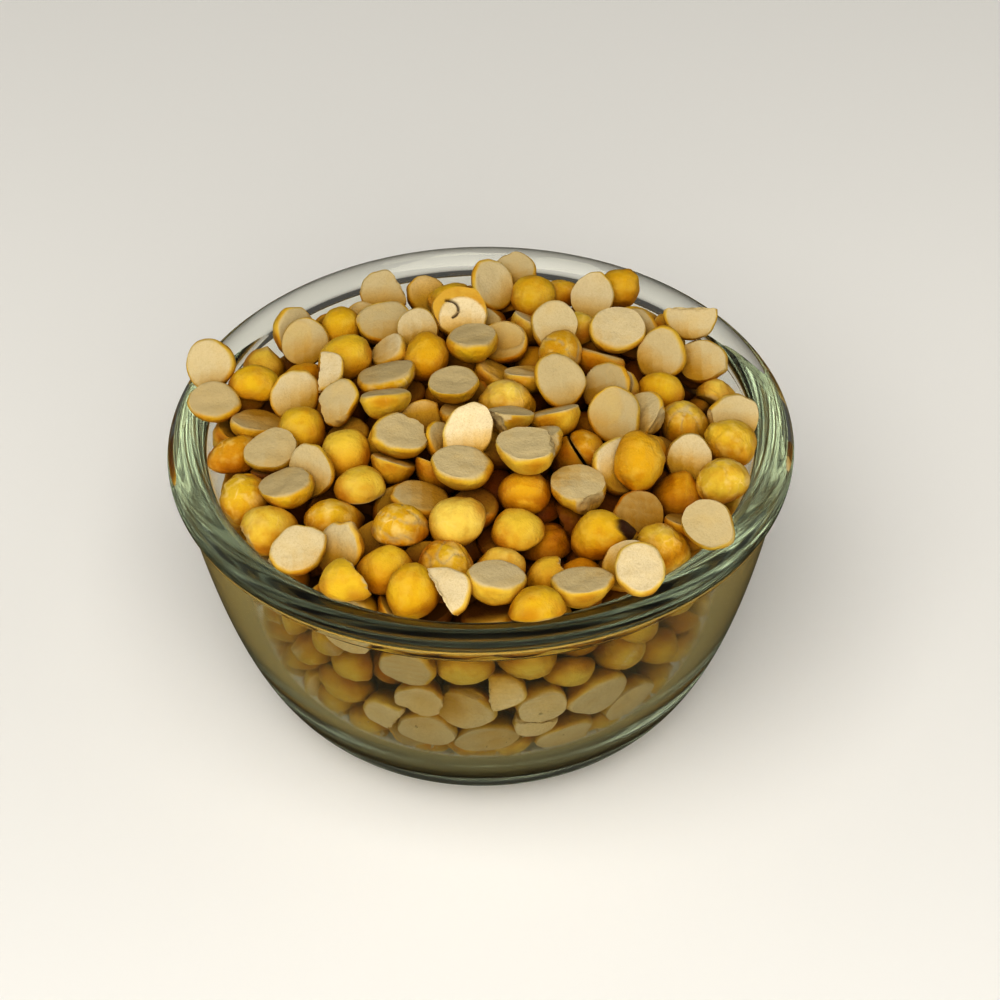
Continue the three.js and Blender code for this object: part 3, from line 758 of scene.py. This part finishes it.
def settle(bodies, frames):
    """Lets halves fall into the bowl, and moves each to where it comes to rest."""
    scene = bpy.context.scene
    bpy.ops.rigidbody.world_add()
    world = scene.rigidbody_world
    world.substeps_per_frame = SUBSTEPS
    world.solver_iterations = 12
    world.use_split_impulse = True
    world.point_cache.frame_end = frames
    scene.gravity = (0, 0, -SIM_GRAVITY)
    bowl_vertices, bowl_triangles = turned(bowl_outline(*SIM_BOWL_STEPS), SIM_BOWL_SEGMENTS)
    bowl_thing = sim_object("sim_bowl", bowl_vertices, bowl_triangles)
    corners = np.array([(-1, -1, 0), (1, -1, 0), (0, 1, 0)]) * GROUND_REACH
    ground = sim_object("sim_ground", corners, [(0, 1, 2)])
    things = []
    for i, body in enumerate(bodies):
        hull = body.hull()
        thing = sim_object(f"sim_half_{i}", hull - hull.mean(0), [])
        thing.location = body.place * SIM_UNIT
        thing.rotation_mode = "QUATERNION"
        thing.rotation_quaternion = body.turn
        things.append(thing)
    add_rigid([bowl_thing, ground], "PASSIVE", "MESH", GLASS_FRICTION)
    add_rigid(things, "ACTIVE", "CONVEX_HULL", GRAM_FRICTION)
    for body, thing in zip(bodies, things):
        if body.landmark:
            thing.rigid_body.linear_damping = 0.9
            thing.rigid_body.angular_damping = 1.0
    for number in range(1, frames + 1):
        scene.frame_set(number)
    graph = bpy.context.evaluated_depsgraph_get()
    for body, thing in zip(bodies, things):
        rest = thing.evaluated_get(graph).matrix_world
        body.turn = rest.to_quaternion()
        body.place = rest.translation / SIM_UNIT
    bpy.ops.rigidbody.world_remove()
    for thing in [bowl_thing, ground, *things]:
        mesh = thing.data
        bpy.data.objects.remove(thing)
        bpy.data.meshes.remove(mesh)
    scene.frame_set(1)


def heap_top(radius):
    """The height of the heap's rounded top at a distance from its middle."""
    return BOWL_HEIGHT + HEAP_RISE - HEAP_FALL * (radius / INNER_RIM_RADIUS) ** 2


def camera_place():
    """Where the photograph's camera stands, in millimetres, turned and rolled a little off the bowl."""
    right = Vector((1, 0, 0))
    ahead = Vector((0, math.cos(CAMERA_ELEVATION), -math.sin(CAMERA_ELEVATION)))
    aim = ahead + math.tan(CAMERA_ASIDE) * right + math.tan(CAMERA_ABOVE) * right.cross(ahead)
    aim.normalize()
    side = aim.cross(Vector((0, 0, 1))).normalized()
    turn = Matrix((side, side.cross(aim), -aim)).transposed().to_4x4()
    place = turn @ Matrix.Rotation(CAMERA_ROLL, 4, "Z")
    place.translation = Vector((0, 0, CAMERA_HEIGHT_AIM)) - CAMERA_DISTANCE * ahead
    return place


def line_of_sight(pixel):
    """The camera's place, and the direction from it through a pixel of the photograph."""
    place = camera_place()
    x, y = ((part - PICTURE / 2) / PICTURE * SENSOR / LENS for part in pixel)
    return place.translation, (place.to_3x3() @ Vector((x, -y, -1))).normalized()


def on_heap(pixel):
    """Where the line of sight through a pixel meets the rounded top of the heap."""
    eye, sight = line_of_sight(pixel)
    path = np.array(eye) + np.linspace(SIGHT_NEAR, SIGHT_FAR, SIGHT_STEPS)[:, None] * np.array(sight)
    top = heap_top(np.hypot(path[:, 0], path[:, 1]))
    return path[np.argmax(path[:, 2] < np.maximum(top, BOWL_HEIGHT + RIM_MARGIN))]


def entry(start, way, profile):
    """Where a line of sight first comes inside a turned profile of radius and height."""
    path = np.array(start) + np.arange(0, SIGHT_FAR, SIGHT_STEP)[:, None] * np.array(way)
    rising = profile[np.argsort(profile[:, 1])]
    limit = np.interp(path[:, 2], rising[:, 1], rising[:, 0], left=0, right=0)
    return path[np.argmax(np.hypot(path[:, 0], path[:, 1]) < limit)]


def wall_normal(spot, profile):
    """The outward direction of a turned profile at a spot on it."""
    at = np.argmin(np.abs(profile[:, 1] - spot[2]))
    radius, height = np.gradient(profile, axis=0)[at]
    turn = math.atan2(spot[1], spot[0])
    return Vector((math.cos(turn), math.sin(turn), -radius / height)).normalized()


def behind_glass(pixel):
    """Where the line of sight through a pixel, bent by the glass, leaves the wall, with its normal."""
    eye, sight = line_of_sight(pixel)
    outer = outer_wall(SIGHT_CURVE_STEPS)
    outside = entry(eye, sight, outer)
    normal = wall_normal(outside, outer)
    slant = -sight.dot(normal)
    inward = math.sqrt(1 - (1 - slant**2) / GLASS_IOR**2)
    bent = sight / GLASS_IOR + (slant / GLASS_IOR - inward) * normal
    inner = inner_wall(SIGHT_CURVE_STEPS)
    inside = entry(outside, bent.normalized(), inner)
    return Vector(inside), wall_normal(inside, inner)


def looking(right, up):
    """A direction so many degrees to the right of the viewer and above the horizon."""
    right, up = math.radians(right), math.radians(up)
    return Vector((math.sin(right) * math.cos(up), -math.cos(right) * math.cos(up), math.sin(up)))


def landmark_turn(side, direction, beak):
    """The turn of a half whose face or dome looks in a direction, its beak pointing as in the picture."""
    top = side * direction
    angle = math.radians(beak)
    tip = camera_place().to_3x3() @ Vector((math.cos(angle), math.sin(angle), 0))
    tip = (tip - tip.dot(top) * top).normalized()
    return Matrix((tip, top.cross(tip), top)).transposed().to_quaternion()


def with_landmarks(bodies, draw):
    """Puts the halves that the photograph shows on the settled heap, and takes away those in their way."""
    eye = camera_place().translation
    rows = []
    for pixel, kind, side, direction, beak, size, tone, worn, deep in LANDMARKS:
        spot = Vector(on_heap(pixel))
        sight = (spot - eye).normalized()
        place = spot + (deep + SINK[side]) * sight
        turn = landmark_turn(side, looking(*direction), beak)
        rows.append((kind, tone, worn, turn, place, size))
    for pixel, kind, side, beak, size, tone, worn in WALL_LANDMARKS:
        spot, outward = behind_glass(pixel)
        place = spot - WALL_SINK[side] * outward
        turn = landmark_turn(side, outward, beak)
        rows.append((kind, tone, worn, turn, place, size))
    marks = [Body(draw.randrange(SEED_LIMIT), *row, landmark=True) for row in rows]
    kept = [body for body in bodies if not any(in_the_way(body, mark, eye) for mark in marks)]
    return kept + marks


def in_the_way(body, mark, eye):
    """Whether a half would overlap a landmark or hide it from the camera."""
    apart = body.place - mark.place
    toward = (eye - mark.place).normalized()
    ahead = apart.dot(toward)
    aside = (apart - ahead * toward).length
    hides = ahead > 0 and aside < LANDMARK_ROOM and mark.place.z > BEAD_MIDDLE
    return apart.length < LANDMARK_ROOM or hides


WALL = inner_wall(WALL_STEPS)


def depth_from_glass(place):
    """How far a place inside the bowl is from the wall or the floor."""
    return np.hypot(WALL[:, 0] - math.hypot(place.x, place.y), WALL[:, 1] - place.z).min()


def in_bowl(place):
    """Whether a half lies inside the bowl or, above it, inside the rim."""
    radius = math.hypot(place.x, place.y)
    inside = INNER_RIM_RADIUS if place.z < BOWL_HEIGHT else RIM_RADIUS
    return radius < inside and place.z > FLOOR_THICKNESS


def under_top(place):
    """Whether a half lies under the rounded top of the heap."""
    return place.z < heap_top(math.hypot(place.x, place.y)) - TOP_MARGIN


# Materials

class Paint:
    """A new material with short ways to add nodes to it."""

    def __init__(self, name):
        self.material = bpy.data.materials.new(name)
        self.material.use_nodes = True
        self.nodes = self.material.node_tree.nodes
        self.shader = self.nodes["Principled BSDF"]

    def set(self, **values):
        """Gives the shader's inputs their values, or links them to sockets."""
        for name, value in values.items():
            self.join(value, self.shader.inputs[name.replace("_", " ")])

    def join(self, value, socket):
        """Links a socket to another, or gives it a number, a vector or a colour."""
        if isinstance(value, bpy.types.NodeSocket):
            self.material.node_tree.links.new(value, socket)
        elif isinstance(value, tuple):
            socket.default_value = (*value, 1)[:len(socket.default_value)]
        else:
            socket.default_value = value

    def node(self, kind, inputs, **settings):
        """Adds a node with its inputs by name or number, and returns its outputs."""
        node = self.nodes.new("ShaderNode" + kind)
        for name, value in settings.items():
            setattr(node, name, value)
        for name, value in inputs.items():
            self.join(value, node.inputs[name])
        return node.outputs

    def attribute(self, name, output="Fac"):
        return self.node("Attribute", {}, attribute_name=name)[output]

    def noise(self, vector, scale, detail, roughness):
        inputs = {"Vector": vector, "Scale": scale, "Detail": detail, "Roughness": roughness}
        return self.node("TexNoise", inputs)["Fac"]

    def cells(self, vector, scale):
        """How far each place is from the borders of uneven cells."""
        inputs = {"Vector": vector, "Scale": scale}
        return self.node("TexVoronoi", inputs, feature="DISTANCE_TO_EDGE")["Distance"]

    def ramp(self, factor, stops):
        node = self.nodes.new("ShaderNodeValToRGB")
        points = node.color_ramp.elements
        while len(points) < len(stops):
            points.new(0.5)
        for point, (place, colour) in zip(points, stops):
            point.position = place
            point.color = (*colour, 1)
        self.join(factor, node.inputs["Fac"])
        return node.outputs["Color"]

    def mix(self, factor, first, second, blend="MIX"):
        node = self.nodes.new("ShaderNodeMix")
        node.data_type = "RGBA"
        node.blend_type = blend
        sockets = {socket.name: socket for socket in node.inputs if socket.enabled}
        self.join(factor, sockets["Factor"])
        self.join(first, sockets["A"])
        self.join(second, sockets["B"])
        return [socket for socket in node.outputs if socket.enabled][0]

    def layers(self, base, layers):
        """Lays colours over one another, each by its own amount."""
        for amount, colour in layers:
            base = self.mix(amount, base, colour)
        return base

    def spread(self, value, low, high, to_low=0.0, to_high=1.0):
        """Maps a span of values onto another, and no further."""
        inputs = {"Value": value, "From Min": low, "From Max": high, "To Min": to_low, "To Max": to_high}
        return self.node("MapRange", inputs)["Result"]

    def math(self, operation, first, second):
        return self.node("Math", {0: first, 1: second}, operation=operation)["Value"]

    def moved(self, vector, amount, field):
        """A vector pushed along by a field, to bend what is drawn from it."""
        inputs = {0: field, 1: (amount, amount, amount), 2: vector}
        return self.node("VectorMath", inputs, operation="MULTIPLY_ADD")["Vector"]

    def bump(self, height, strength, distance):
        inputs = {"Strength": strength, "Distance": distance, "Height": height}
        self.set(Normal=self.node("Bump", inputs)["Normal"])


def plain_material(name, colour, roughness):
    paint = Paint(name)
    paint.set(Base_Color=colour, Roughness=roughness)
    return paint.material


def glass_material():
    """Clear glass that a long way through it turns faintly green."""
    paint = Paint("clear_glass")
    paint.set(Base_Color=(0.99, 0.99, 0.935), Roughness=0.05, IOR=GLASS_IOR, Transmission_Weight=1.0)
    tint = paint.node("VolumeAbsorption", {"Color": (0.3, 0.4, 0.25), "Density": 13.0})
    paint.join(tint["Volume"], paint.nodes["Material Output"].inputs["Volume"])
    return paint.material


def gram_material():
    """Golden mottled skin with pale veins and rubbed patches, cream matte flesh with a fine grain, and
    painted shade deep in the heap.
    """
    paint = Paint("roasted_gram")
    spot = paint.attribute("spot", "Vector")
    pale = paint.attribute("pale")
    tone = paint.attribute("tone")
    worn = paint.attribute("worn")
    broad = paint.noise(spot, 0.3, 3.0, 0.55)
    patch = paint.noise(spot, 0.55, 2.0, 0.5)
    fine = paint.noise(spot, 2.6, 4.0, 0.62)
    grain = paint.noise(spot, 5.0, 2.0, 0.6)
    rubbed = paint.spread(worn, 0.35, 1.0, 0.0, 0.8)
    rubbed = paint.math("MULTIPLY", paint.spread(patch, 0.50, 0.72), rubbed)
    border = paint.cells(paint.moved(spot, 1.2, patch), 0.32)
    vein = paint.math("MULTIPLY", paint.spread(border, 0.06, 0.0), paint.spread(broad, 0.52, 0.70))
    vein = paint.math("MULTIPLY", vein, paint.spread(worn, 0.3, 0.8, 0.0, 0.7))
    skin = paint.layers(paint.ramp(tone, SKIN_TONES), (
        (paint.spread(broad, 0.53, 0.28, 0.0, 0.65), (0.46, 0.2, 0.003)),
        (paint.spread(patch, 0.48, 0.75, 0.0, 0.55), (0.61, 0.425, 0.07)),
        (rubbed, (0.7, 0.55, 0.24)),
        (paint.spread(fine, 0.40, 0.75, 0.0, 0.2), (0.65, 0.43, 0.05)),
        # the brown border of the skin, partly toasting and partly painted shade
        (paint.attribute("toast"), (0.42, 0.185, 0.004)),
        (vein, (0.8, 0.64, 0.32)),
    ))
    flesh = paint.layers(paint.ramp(tone, FLESH_TONES), (
        (paint.spread(broad, 0.5, 0.8, 0.0, 0.35), (0.54, 0.38, 0.13)),
        (paint.spread(fine, 0.50, 0.80, 0.0, 0.35), (0.38, 0.29, 0.14)),
        (paint.spread(grain, 0.48, 0.75, 0.0, 0.4), (0.4, 0.3, 0.13)),
    ))
    # Painted shade: deeper in the heap and away from the glass the colour turns golden-brown, then dark
    # red-brown
    shade = paint.attribute("shade")
    colour = paint.mix(pale, skin, flesh)
    colour = paint.mix(paint.spread(shade, 0.0, 0.5), colour, (0.9, 0.62, 0.08), "MULTIPLY")
    colour = paint.layers(colour, (
        (paint.spread(shade, 0.28, 1.0, 0.0, 0.9), (0.09, 0.013, 0.001)),
        (paint.attribute("burnt"), (0.035, 0.010, 0.003)),
    ))
    paint.set(Base_Color=colour, Roughness=paint.spread(pale, 0.0, 1.0, 0.48, 0.85))
    paint.set(Specular_IOR_Level=0.2, Specular_Tint=(1.0, 0.86, 0.55))
    ripple = paint.math("MULTIPLY", paint.noise(spot, 1.1, 3.0, 0.6), 2.5)
    paint.bump(paint.math("ADD", paint.math("ADD", fine, ripple), vein), 0.5, 0.16 * MM)
    return paint.material


# Heap

def settled_bodies(draw):
    """The halves where they come to rest, those that the photograph shows about where it has them."""
    bodies = column(draw)
    settle(bodies, SETTLE_FRAMES)
    bodies = [body for body in bodies if in_bowl(body.place) and under_top(body.place)]
    bodies = with_landmarks(bodies, draw)
    settle(bodies, LANDMARK_FRAMES)
    return [body for body in bodies if in_bowl(body.place)]


def heap_pieces(material):
    """The gram halves that show, joined to one piece for each kind."""
    draw = random.Random(SEED)
    bodies = settled_bodies(draw)
    centres = np.array([body.place for body in bodies])
    gathered = {}
    for body in bodies:
        offset = np.array([draw.uniform(-TEXTURE_SPREAD, TEXTURE_SPREAD) for _ in range(3)])
        near = np.hypot(centres[:, 0] - body.place.x, centres[:, 1] - body.place.y) < NEAR_REACH
        under = centres[near, 2].max() - body.place.z
        from_glass = depth_from_glass(body.place)
        if min(under, from_glass) > SHOWN_DEPTH:
            continue
        # Painted light: halves low against the glass get a paler tone, as if more light reached them
        # through it
        if from_glass < PAINTED_LIGHT_REACH and body.place.z < BEAD_MIDDLE:
            body.tone *= PAINTED_LIGHT_SHARE
        grid = FINE if under < FINE_DEPTH else COARSE
        if body.landmark:
            grid = MARKED if body.kind in MARKED_KINDS else CLOSE
        half = body.half(grid)
        local = half.places - body.hull().mean(0)
        world = local @ np.array(body.turn.to_matrix()).T + np.array(body.place)
        gathered.setdefault(body.kind, []).append((body, half, world, half.places + offset))
    tops = top_map(np.vstack([world for items in gathered.values() for _, _, world, _ in items]))
    return [joined(kind, items, material, tops) for kind, items in gathered.items()]


def map_cell(places):
    """The cell of the map of tops that each place lies over."""
    cells = ((places[:, :2] + RIM_RADIUS) / MAP_CELL).astype(int)
    return tuple(np.clip(cells, 0, int(2 * RIM_RADIUS / MAP_CELL)).T)


def top_map(places):
    """A map of how high the heap's top is, evened out over a few halves."""
    cells = int(2 * RIM_RADIUS / MAP_CELL) + 1
    tops = np.full((cells, cells), BOWL_HEIGHT)
    np.maximum.at(tops, map_cell(places), places[:, 2])
    near = range(-MAP_REACH, MAP_REACH + 1)
    return sum(np.roll(tops, (i, j), (0, 1)) for i in near for j in near) / len(near) ** 2


def shade(places, tops):
    """How far into the heap each place is, from 0 at its top or the glass to 1 where little light comes."""
    under = tops[map_cell(places)] - places[:, 2]
    radius = np.hypot(places[:, 0], places[:, 1])
    inside = np.full(len(places), np.inf)
    for wall_radius, wall_height in WALL:
        inside = np.minimum(inside, np.hypot(radius - wall_radius, places[:, 2] - wall_height))
    return np.clip(np.minimum(under, GLASS_SHADE * inside) / SHADE_DEPTH, 0, 1)


def joined(kind, items, material, tops):
    """One piece of all the halves of a kind, with what the material needs to know of each place."""
    bodies, halves, worlds, spots = zip(*items)
    counts = [len(world) for world in worlds]
    starts = np.cumsum([0, *counts])
    triangles = np.vstack([half.grid.triangles + start for half, start in zip(halves, starts)])
    vertices = np.vstack(worlds)
    piece = mesh_object(f"gram_{kind}", vertices, triangles, material, GRAM_CREASE)
    for name in ("pale", "burnt", "toast"):
        give_attribute(piece, name, np.concatenate([getattr(half, name) for half in halves]))
    for name in ("tone", "worn"):
        give_attribute(piece, name, np.repeat([getattr(body, name) for body in bodies], counts))
    give_attribute(piece, "spot", np.vstack(spots))
    give_attribute(piece, "shade", shade(vertices, tops))
    return piece


def heap_core(material):
    """A closed core under the halves, painted the dark of deep shade, so that no gap between them shows
    empty space.
    """
    low = FLOOR_THICKNESS + CORE_DEPTH
    high = BOWL_HEIGHT - CORE_DEPTH
    side = [(r - CORE_DEPTH, z) for r, z in inner_wall(CORE_SIDE_STEPS)[::-1] if low < z < high]
    reach = side[-1][0]
    crown = [(r, heap_top(r) - CORE_DEPTH) for r in np.linspace(reach, 0, CORE_CROWN_STEPS)]
    outline = [(0, low), (0.5 * side[0][0], low), *side, *crown[1:]]
    vertices, triangles = turned(outline, CORE_SEGMENTS)
    away = vertices - np.array([0, 0, BOWL_HEIGHT / 2])
    away /= np.linalg.norm(away, axis=1)[:, None]
    vertices = vertices + away * waves(random.Random(SEED), vertices, CORE_WAVE)[:, None]
    return mesh_object("gram_core", vertices, triangles, material, math.pi)


def gram_powder(material):
    """Crumbs and powder that cling to the inside of the glass low down."""
    draw = random.Random(SEED)
    corners = np.vstack([np.eye(3), -np.eye(3)])
    around = [(0, 1), (1, 3), (3, 4), (4, 0)]
    sides = np.array([(a, b, 2) for a, b in around] + [(b, a, 5) for a, b in around])
    wall = inner_wall(POWDER_STEPS)
    wall = wall[wall[:, 1] < POWDER_HEIGHT]
    places, triangles = [], []
    for number in range(POWDER_SPECKS):
        radius, height = wall[int(len(wall) * draw.random() ** POWDER_CROWDING)]
        turn = draw.uniform(0, 2 * math.pi)
        size = 0.09 + 0.35 * draw.random() ** 4
        grain = corners * [size * draw.uniform(0.6, 1.4) for _ in range(3)]
        grain = grain @ np.array(random_turn(draw).to_matrix())
        inside = radius - 1.2 * size
        places.append(grain + [inside * math.cos(turn), inside * math.sin(turn), height + 0.9 * size])
        triangles.append(sides + len(corners) * number)
    piece = mesh_object("gram_powder", np.vstack(places), np.vstack(triangles), material, 0.0)
    for name, value in POWDER_LOOK.items():
        give_attribute(piece, name, np.full(len(piece.data.vertices), value))
    give_attribute(piece, "spot", np.vstack(places))
    return piece


# Stage

def floor_material():
    """A pale floor, dark where surfaces mirror it and warm inside the glass, so that it veils no gram."""
    paint = Paint("pale_floor")
    path = paint.node("LightPath", {})
    reflected = paint.spread(path["Glossy Depth"], 0.0, 1.0)
    in_glass = paint.spread(path["Transmission Depth"], 0.0, 1.0)
    often = paint.spread(path["Glossy Depth"], 1.0, 2.0)
    mirrored = paint.mix(in_glass, (0.04, 0.035, 0.02), (0.24, 0.215, 0.10))
    mirrored = paint.mix(often, mirrored, (0.90, 0.57, 0.12))
    paint.set(Base_Color=paint.mix(reflected, (0.78, 0.78, 0.77), mirrored), Roughness=0.7)
    return paint.material


def studio():
    """How the picture is developed, and the floor, the sky and the lights."""
    scene = bpy.context.scene
    scene.view_settings.view_transform = "Standard"
    scene.view_settings.gamma = 0.82
    scene.cycles.max_bounces = 24
    scene.cycles.transmission_bounces = 24
    scene.cycles.glossy_bounces = 12
    mesh = bpy.data.meshes.new("floor")
    signs = ((-1, -1), (1, -1), (1, 1), (-1, 1))
    corners = [(FLOOR_REACH * x, FLOOR_REACH * y, FLOOR_LEVEL) for x, y in signs]
    mesh.from_pydata(corners, [], [(0, 1, 2, 3)])
    mesh.materials.append(floor_material())
    floor = add_object("floor", mesh)
    world = bpy.data.worlds.new("studio")
    scene.world = world
    world.use_nodes = True
    sky = world.node_tree.nodes["Background"]
    sky.inputs["Color"].default_value = (1.0, 0.98, 0.94, 1)
    sky.inputs["Strength"].default_value = 0.12
    for name, place, power, size, lights, mirrored in LIGHTS:
        light = bpy.data.lights.new(name, "AREA")
        light.energy = power
        light.size = size
        light.color = LIGHT_COLOUR
        lamp = add_object(name, light)
        lamp.location = place
        lamp.rotation_euler = (LIGHT_AIM - Vector(place)).to_track_quat("-Z", "Y").to_euler()
        lamp.visible_diffuse = lights
        lamp.visible_transmission = lights
        lamp.visible_glossy = mirrored


def camera():
    """A camera where the photograph's stood."""
    view = bpy.data.cameras.new("camera")
    view.sensor_width = SENSOR
    view.lens = LENS
    view.clip_start = 0.01
    holder = add_object("camera", view)
    place = camera_place()
    place.translation = place.translation * MM
    holder.matrix_world = place
    bpy.context.scene.camera = holder


camera()
studio()
bowl = glass_bowl(glass_material())
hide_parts("bowl")
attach(bowl, "root")
gram = gram_material()
# the core's near-black brown is painted shade, the dark deep between the halves
core = heap_core(plain_material("shaded_gram", (0.05, 0.014, 0.002), 0.9))
for piece in [*heap_pieces(gram), gram_powder(gram), core]:
    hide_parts("gram_heap")
    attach(piece, "root")
